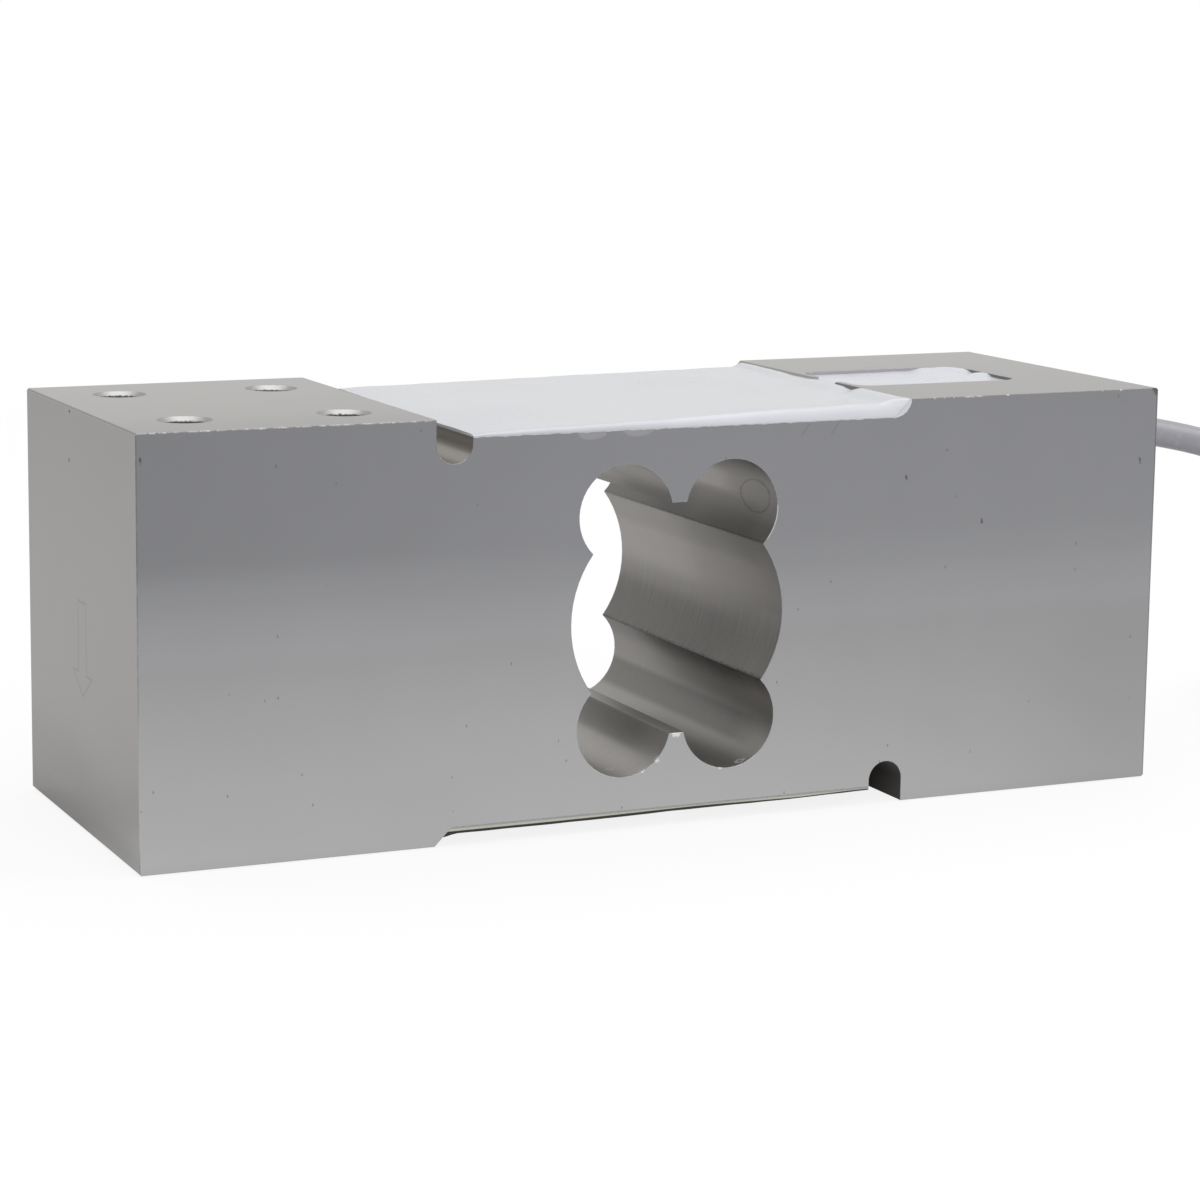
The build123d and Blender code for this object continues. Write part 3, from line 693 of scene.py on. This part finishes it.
    # arrow for the direction of the load, an etched outline on the left end
    def paintArrow(self):
        y, z = self.y, self.z
        half, low, high = arrow["shaft"]
        aside = (y - arrow["middle"]).size()
        shaft = (aside - half).most((z - (low + high) / 2).size() - (high - low) / 2)
        wide, base, tip = arrow["head"]
        head = (z - base).most((aside / wide + (base - z) / (base - tip) - 1) * (base - tip) * 0.82)
        outline = 1 - self.step(shaft.least(head).size(), 0.1, 0.28)
        self.paint(outline * self.leftEnd * arrow["strength"], blockTones["arrow"])

    # painted highlights on the burrs of the front top edge, which come often over the left pad and in one
    # run over the right one
    def burrMask(self):
        edge = self.step(self.z, *blockPlaces["topEdge"]) * self.step(-self.y, *blockPlaces["frontEdge"])
        often = ((1 - self.step(self.x, -42, -40)) * 0.6).most(self.within(self.x, 49.6, 54.2, 0.3) * 0.7)
        return edge * (often * self.step(self.along, 0.4, 0.6)).most(self.step(self.along, 0.58, 0.64))

    # the painted highlight along the rim of the upper right lobe
    def rimMask(self):
        rimX, rimZ = brightRim["middle"]
        radius = brightRim["radius"]
        past = ((self.x - rimX) ** 2 + (self.z - rimZ) ** 2 - radius**2) / (2 * radius)
        rim = self.within(past, 0.0, brightRim["width"], 0.05) * self.within(self.z, *brightRim["z"], 0.6)
        return rim * self.step(self.x, *brightRim["x"])

    # a drop of glue shows only as a painted highlight ring
    def dropMask(self, place, half):
        away = self.add("ShaderNodeVectorMath", {"operation": "DISTANCE"}, {0: self.here, 1: place}, "Value")
        return self.within(away + 1.2 * self.wobble, half * 0.45, half * 0.85, 0.12)

    def paintBrightMarks(self):
        # painted highlights over the glints, the lobe's rim, the burrs and the glue drops
        acrossX, acrossZ = self.x + 2 * self.wobble, self.z + self.wobble
        sparks = [self.mark(acrossX, acrossZ, (px, pz), (half, half * 0.6)) for px, pz, half in glints]
        glueDropRings = mostOf([self.dropMask(*drop) for drop in drops])
        onFront = mostOf(sparks).most(self.rimMask()) * self.front
        self.bright = onFront.most(self.burrMask()).most(glueDropRings * 0.8)
        self.paint(self.bright, blockTones["paintedHighlight"])

    # silicone on the front face: a thin film at the end of the recess, a ragged border and wiped smears
    def paintSiliconeFilm(self):
        x, y, z = self.x, self.y, self.z
        endX, endZ = filmEnd["middle"]
        corner = (x - endX) ** 2 + (z - endZ) ** 2 + 1.5 * self.wobble
        end = 1 - self.step(corner, *filmEnd["reach"])
        end = end * self.step(x, *filmEnd["x"]) * self.step(-y, *filmEnd["y"])
        border = self.step(z + 0.55 * self.along, *filmBorder["z"])
        border = border * self.within(x, *filmBorder["x"]) * self.front * filmBorder["strength"]
        self.film = end.most(border)
        self.paint(self.film, blockTones["film"])
        wiped = []
        for px, pz, wide, high in smears:
            reach = ((x - px) / wide) ** 2 + ((z - pz) / high) ** 2 + 1.5 * self.wobble
            wiped.append(1 - self.step(reach, 0.6, 1.0))
        self.smear = mostOf(wiped) * self.front * 0.22
        self.paint(self.smear, blockTones["smear"])


def blockFinish():
    look = BlockFinish()
    look.paintFaces()
    look.dimFaces()
    look.paintCutOut()
    look.paintSlots()
    look.paintHoles()
    look.paintPadWalls()
    look.paintDarkMarks()
    look.paintArrow()
    look.paintBrightMarks()
    look.paintSiliconeFilm()
    fine = look.noise(look.place((0.25, 1, 2.5)), 0.5, 1.0)
    height = 0.3 * fine + 0.7 * look.grain + look.cutOut * (1.2 * look.streak + 2.0 * look.grain)
    rounded = look.add("ShaderNodeBevel", {"samples": 3}, {"Radius": blockSurface["edgeRadius"] * mm})
    other = blockSurface["otherRoughness"]
    rough = other + (blockSurface["frontRoughness"] - other) * look.front + 0.1 * look.wobble
    look.set(
        Base_Color=look.tone,
        Roughness=rough + 0.12 * look.cutOut + 0.2 * look.bright + 0.12 * look.hole + 0.5 * look.lowSlot,
        Metallic=1 - look.film.most(look.smear),
        Normal=look.bump(height, blockSurface["bumpDepth"], rounded),
    )
    return look


slotLooks = {name: plainFinish(name) for name in finishes}
slotLooks["cable_jacket"] = jacketFinish()
slotLooks["silicone"] = siliconeFinish()
slotLooks["aluminium"] = blockFinish()
slotOf = {row["node"]: row["material_slot"] for row in frame["record"]["subparts"]}
for name in nodes:
    slotLooks[slotOf[name]].cover(nodes[name])
print("finishes ready")


# Cable: its bare stretch, the turns of the hank in layers, and the tail in the hank's hole
cableSet = {
    "diameter": 5.0,
    "exit": (0.0905, -0.001, 0.0553),
    "length": 2.0,
    "route": [
        (0.1010, -0.0010, 0.0553),
        (0.1115, -0.0010, 0.0535),
        (0.1220, -0.0018, 0.0508),
        (0.1315, -0.0042, 0.0459),
        (0.1400, -0.0083, 0.0390),
        (0.1485, -0.0130, 0.0315),
        (0.1573, -0.0175, 0.0252),
        (0.1670, -0.0208, 0.0206),
        (0.1775, -0.0220, 0.0177),
    ],
    "foldLeft": 0.1585,
    "foldRight": 0.2055,
    "foldRadii": (0.025, 0.020, 0.015),
    "layers": (0.0125, 0.0075, 0.0025),
    "foldSteps": 8,
    "foldLead": 0.004,
    "tail": [
        (0.2050, 0.0156, 0.0028),
        (0.1980, 0.0129, 0.0031),
        (0.1910, 0.0092, 0.0031),
        (0.1845, 0.0058, 0.0031),
        (0.1804, 0.0037, 0.0031),
    ],
}


# one half turn round a fold, from the front run to the back run or the other way
def halfTurn(centre, start, radii, levels):
    steps = cableSet["foldSteps"]
    points = []
    for k in range(steps):
        share = (k + 0.5) / steps
        angle = start + math.pi * share
        radius = (radii[0] + (radii[1] - radii[0]) * share) / math.cos(math.pi / 2 / steps)
        level = levels[0] + (levels[1] - levels[0]) * share
        points.append((centre + radius * math.cos(angle), radius * math.sin(angle), level))
    return points


def hankTurns():
    turns = []
    for i, level in enumerate(cableSet["layers"]):
        radii = cableSet["foldRadii"] if i % 2 == 0 else cableSet["foldRadii"][::-1]
        turns += [(radius, level) for radius in radii]
    left, right, lead = cableSet["foldLeft"], cableSet["foldRight"], cableSet["foldLead"]
    points = []
    for turn, (radius, level) in enumerate(turns):
        if turn > 0:
            points.append((left + lead, -radius, level))
        points.append((right - lead, -radius, level))
        points += halfTurn(right, -math.pi / 2, (radius, radius), (level, level))
        if turn + 1 < len(turns):
            points += [(right - lead, radius, level), (left + lead, radius, level)]
            nextRadius, nextLevel = turns[turn + 1]
            points += halfTurn(left, math.pi / 2, (radius, nextRadius), (level, nextLevel))
    return points[:-1]


def makeCable():
    points = [cableSet["exit"]] + cableSet["route"] + hankTurns() + cableSet["tail"]
    curve = bpy.data.curves.new("cable", "CURVE")
    curve.dimensions = "3D"
    spline = curve.splines.new("NURBS")
    spline.points.add(len(points) - 1)
    for knot, point in zip(spline.points, points):
        knot.co = (*point, 1.0)
    spline.order_u = 3
    spline.use_endpoint_u = True
    curve.resolution_u = 6
    curve.bevel_depth = cableSet["diameter"] / 2 * mm
    curve.bevel_resolution = 5
    curve.use_fill_caps = True
    cable = bpy.data.objects.new("cable", curve)
    bpy.context.scene.collection.objects.link(cable)
    slotLooks["cable_jacket"].cover(cable)
    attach(cable, "root")
    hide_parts("cable_run", "cable_hank")
    onCable = ["cable_seal", "cable_jacket_inside", "cable_tie", "shrink_sleeve"]
    onCable += ["shield_pigtail_end", "tinned_tips"]
    onCable += [f"core_{color}_end" for color in ("red", "black", "green", "white")]


makeCable()
print("cable laid")


# A new piece takes its name, and its place goes into its mesh
def startPiece(name):
    piece = bpy.context.object
    piece.name = name
    bpy.ops.object.transform_apply(location=True, rotation=True, scale=True)
    return piece


def finishPiece(piece, slot, *replaced):
    bpy.ops.object.select_all(action="DESELECT")
    piece.select_set(True)
    bpy.context.view_layer.objects.active = piece
    bpy.ops.object.shade_smooth_by_angle(angle=math.radians(40))
    slotLooks[slot].cover(piece)
    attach(piece, "root")
    if replaced:
        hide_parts(*replaced)
    print(piece.name, len(piece.data.polygons), "faces")


def applyTo(piece, modifier):
    bpy.context.view_layer.objects.active = piece
    bpy.ops.object.modifier_apply(modifier=modifier.name)


def newBox(name, low, high):
    bpy.ops.object.select_all(action="DESELECT")
    middle = [(a + b) / 2 * mm for a, b in zip(low, high)]
    bpy.ops.mesh.primitive_cube_add(size=1, location=middle, scale=[(b - a) * mm for a, b in zip(low, high)])
    return startPiece(name)


def combine(piece, tool, how):
    join = piece.modifiers.new("join", "BOOLEAN")
    join.operation = how
    join.solver = "EXACT"
    join.object = tool
    applyTo(piece, join)
    bpy.data.objects.remove(tool)


# the part of a box beyond a slanted plane is cut off
def cutOff(piece, point, way):
    bpy.ops.object.select_all(action="DESELECT")
    piece.select_set(True)
    bpy.context.view_layer.objects.active = piece
    bpy.ops.object.mode_set(mode="EDIT")
    bpy.ops.mesh.select_all(action="SELECT")
    bpy.ops.mesh.bisect(plane_co=[c * mm for c in point], plane_no=way, use_fill=True, clear_outer=True)
    bpy.ops.object.mode_set(mode="OBJECT")


# Silicone skins: a fine grid set to its heights, closed below, then cut to the recess that holds it
skinSet = {
    "left": -35.0,
    "padEdge": 41.0,
    "floor": 63.2,
    "side": 29.97,
    "channel": (-5.0, 3.0),
    "pocket": ((42.0, 72.4), (-11.7, 9.7)),
    "pocketFloor": 50.0,
    "pocketCorner": 3.0,
    "rim": 65.97,
    "blend": (38.5, 43),
    "stripTop": 2.8,
    "lip": 0.87,
    "lipChanges": [(-40, -37, -0.5), (-22, 8, -0.24), (20, 34, -0.25)],
}


def smooth(value, low, high):
    t = min(1.0, max(0.0, (value - low) / (high - low)))
    return t * t * (3 - 2 * t)


def lumps(x, y):
    wave = math.sin(x * 0.31 + 1.7 * math.sin(y * 0.13)) * math.sin(y * 0.23 + 0.9 * math.sin(x * 0.17))
    return 0.05 * wave + 0.025 * math.sin(x * 0.9 + y * 0.35) * math.sin(y * 0.7 - x * 0.2)


# how a skin rises from the block's side to its full height, as a rounded shoulder
def shoulder(y, width):
    inward = min(1.0, max(0.0, skinSet["side"] - abs(y)) / width)
    return math.sqrt(1 - (1 - inward) ** 2)


# the pour over the recess rises to the right and to the back, dips at its left end and swells in front
def crownHeight(x, y):
    back = smooth(y, 0, 25)
    leftDip = 0.4 * math.exp((skinSet["left"] - x) / 4) * (1 - 0.7 * back)
    swell = 0.5 * smooth(x, -10, 25) * math.exp(-max(0.0, y + skinSet["side"] - 1.5) / 5)
    return 64.43 + 0.0135 * (x + 2) + 0.2 * back - leftDip + swell


# it climbs the pad's slope, but leaves it bare beside the channel
def climbHeight(x, y):
    bare = smooth(y, -14, -12) * (1 - smooth(y, -5.6, -4.8)) * (0.15 + 0.85 * smooth(-y, 7, 11.5))
    bare += smooth(y, 2.8, 3.6) * (1 - smooth(y, 9, 15)) * 0.35
    start = 36.0 + 2.6 * smooth(y, 2, 22)
    climb = 0.95 + 0.3 * math.exp(-(y + skinSet["side"]) / 4)
    return smooth(x, start, 40.7) * climb * (1 - bare)


# in the pocket it creeps up the front wall, the right end of the back wall and parts of the right wall
def pocketHeight(x, y):
    front, back = skinSet["pocket"][1]
    level = 65.45 + 0.5 * math.exp(-max(0.0, y - front) / 2.2)
    level += 0.55 * smooth(x, 63, 66.5) * math.exp(-max(0.0, back - y) / 2.4)
    glueDropRings = smooth(y, -3.5, -1.5) * (1 - smooth(y, 0.5, 2)) + smooth(y, 3.8, 5.5)
    return level + 0.55 * smooth(x, 68.5, 71) * glueDropRings


def topHeight(x, y):
    floor = skinSet["floor"]
    rise = crownHeight(x, y) + climbHeight(x, y) - floor - 0.08
    skin = floor + 0.08 + rise * shoulder(y, 1.7) + lumps(x, y)
    potted = pocketHeight(x, y) + lumps(x, y)
    return min(skinSet["rim"], skin + (potted - skin) * smooth(x, *skinSet["blend"]))


# the strip under the block: how far its lower edge hangs at the sides changes along it
def bottomHeight(x, y):
    lip = skinSet["lip"] + 0.5
    for start, end, change in skinSet["lipChanges"]:
        lip += change * smooth(x, start, end)
    return skinSet["stripTop"] - lip - 0.55 * shoulder(y, 3.0) - 0.6 * lumps(x, y)


# places from -reach to reach, close together near both ends
def spread(reach, count):
    turns = [math.pi / 2 * (2 * i / count - 1) for i in range(count + 1)]
    return [reach * math.sin(math.pi / 2 * math.sin(turn)) for turn in turns]


def makeSkin(name, across, along, height, base, hold, replaced):
    bpy.ops.object.select_all(action="DESELECT")
    bpy.ops.mesh.primitive_grid_add(x_subdivisions=len(across) - 1, y_subdivisions=len(along) - 1, size=1)
    piece = startPiece(name)
    places = [(x, y) for y in along for x in across]
    for corner, (x, y) in zip(piece.data.vertices, places):
        corner.co = (x * mm, y * mm, height(x, y) * mm)
    bpy.ops.object.mode_set(mode="EDIT")
    bpy.ops.mesh.select_all(action="SELECT")
    bpy.ops.mesh.extrude_region_move()
    bpy.ops.object.mode_set(mode="OBJECT")
    for corner in piece.data.vertices[len(places):]:
        corner.co.z = base * mm
    bpy.ops.object.mode_set(mode="EDIT")
    bpy.ops.mesh.select_all(action="SELECT")
    bpy.ops.mesh.normals_make_consistent(inside=False)
    bpy.ops.object.mode_set(mode="OBJECT")
    combine(piece, hold, "INTERSECT")
    finishPiece(piece, "silicone", replaced)


# the recess, the channel and the pocket in one: the boxes' tops lie a little apart, so no faces coincide
def topHold():
    side, edge = skinSet["side"], skinSet["padEdge"]
    (left, right), (front, back) = skinSet["pocket"]
    low, high = skinSet["channel"]
    hold = newBox("recessHold", (skinSet["left"], -side, skinSet["floor"]), (edge + 1, side, 67))
    cutOff(hold, (edge, 0, 66), (1, 0, -1))
    channel = newBox("channelHold", (edge - 4, low, skinSet["floor"]), (left + 2, high, 67.2))
    pocket = newBox("pocketHold", (left, front, skinSet["pocketFloor"]), (right, back, 67.4))
    corners = pocket.modifiers.new("corners", "BEVEL")
    corners.width = skinSet["pocketCorner"] * mm
    corners.segments = 6
    corners.limit_method = "WEIGHT"
    weights = pocket.data.attributes.new("bevel_weight_edge", "FLOAT", "EDGE")
    for line in pocket.data.edges:
        a, b = [pocket.data.vertices[i].co for i in line.vertices]
        weights.data[line.index].value = 1.0 if abs(a.z - b.z) > mm else 0.0
    applyTo(pocket, corners)
    combine(hold, channel, "UNION")
    combine(hold, pocket, "UNION")
    return hold


def bottomHold():
    side, edge = skinSet["side"], skinSet["padEdge"]
    hold = newBox("lowerHold", (-edge - 1, -side, -1), (-skinSet["left"], side, skinSet["stripTop"]))
    cutOff(hold, (-edge, 0, 0), (-1, 0, 1))
    return hold


sideSteps = spread(skinSet["side"] + 0.01, 90)
topSteps = [-36 + 110 * i / 180 for i in range(181)]
bottomSteps = [-43 + i for i in range(81)]
makeSkin("siliconeTop", topSteps, sideSteps, topHeight, 45, topHold(), "top_silicone")
makeSkin("siliconeBottom", bottomSteps, sideSteps, bottomHeight, 4, bottomHold(), "bottom_silicone")


# Threads: one ridge with a triangular section, wound down a hole, then copied to all eight
threadSet = {
    "wall": 3.42,
    "ridge": 0.3,
    "section": ((0, 1.1), (-1, 0), (0, -1.1)),
    "steps": 20,
    "pitch": 1.25,
    "turns": 13,
    "start": 1.9,
    "holesX": (51.0, 76.4),
    "holesY": (-17.0, 17.0),
    "blockTop": 66,
}


def windThread():
    bpy.ops.object.select_all(action="DESELECT")
    wall, ridge = threadSet["wall"] * mm, threadSet["ridge"] * mm
    bpy.ops.mesh.primitive_circle_add(vertices=3, radius=ridge)
    thread = bpy.context.object
    thread.name = "thread"
    for corner, (out, up) in zip(thread.data.vertices, threadSet["section"]):
        corner.co = (wall + out * ridge, 0, up * ridge)
    wind = thread.modifiers.new("wind", "SCREW")
    wind.steps = wind.render_steps = threadSet["steps"]
    wind.iterations = threadSet["turns"]
    wind.screw_offset = -threadSet["pitch"] * mm
    applyTo(thread, wind)
    bpy.ops.object.mode_set(mode="EDIT")
    bpy.ops.mesh.select_all(action="SELECT")
    bpy.ops.mesh.remove_doubles(threshold=0.01 * mm)
    bpy.ops.mesh.fill_holes(sides=3)
    bpy.ops.mesh.select_all(action="SELECT")
    bpy.ops.mesh.normals_make_consistent(inside=False)
    bpy.ops.object.mode_set(mode="OBJECT")
    return thread


# side is -1 for a hole in the left pad's top, and 1 for one in the right pad's underside, turned over
def placeThread(thread, side, holeX, holeY):
    copy = bpy.data.objects.new("thread", thread.data.copy())
    bpy.context.scene.collection.objects.link(copy)
    level = threadSet["blockTop"] - threadSet["start"] if side < 0 else threadSet["start"]
    for corner in copy.data.vertices:
        px, py, pz = corner.co
        corner.co = (px + side * holeX * mm, holeY * mm - side * py, level * mm - side * pz)
    face = "top" if side < 0 else "bottom"
    depth = "front" if holeY < 0 else "back"
    copy.name = f"thread_{face}_{holeX:.0f}_{depth}"
    finishPiece(copy, "aluminium")


def makeThreads():
    thread = windThread()
    for side in (-1, 1):
        for holeX in threadSet["holesX"]:
            for holeY in threadSet["holesY"]:
                placeThread(thread, side, holeX, holeY)
    bpy.data.objects.remove(thread)


makeThreads()
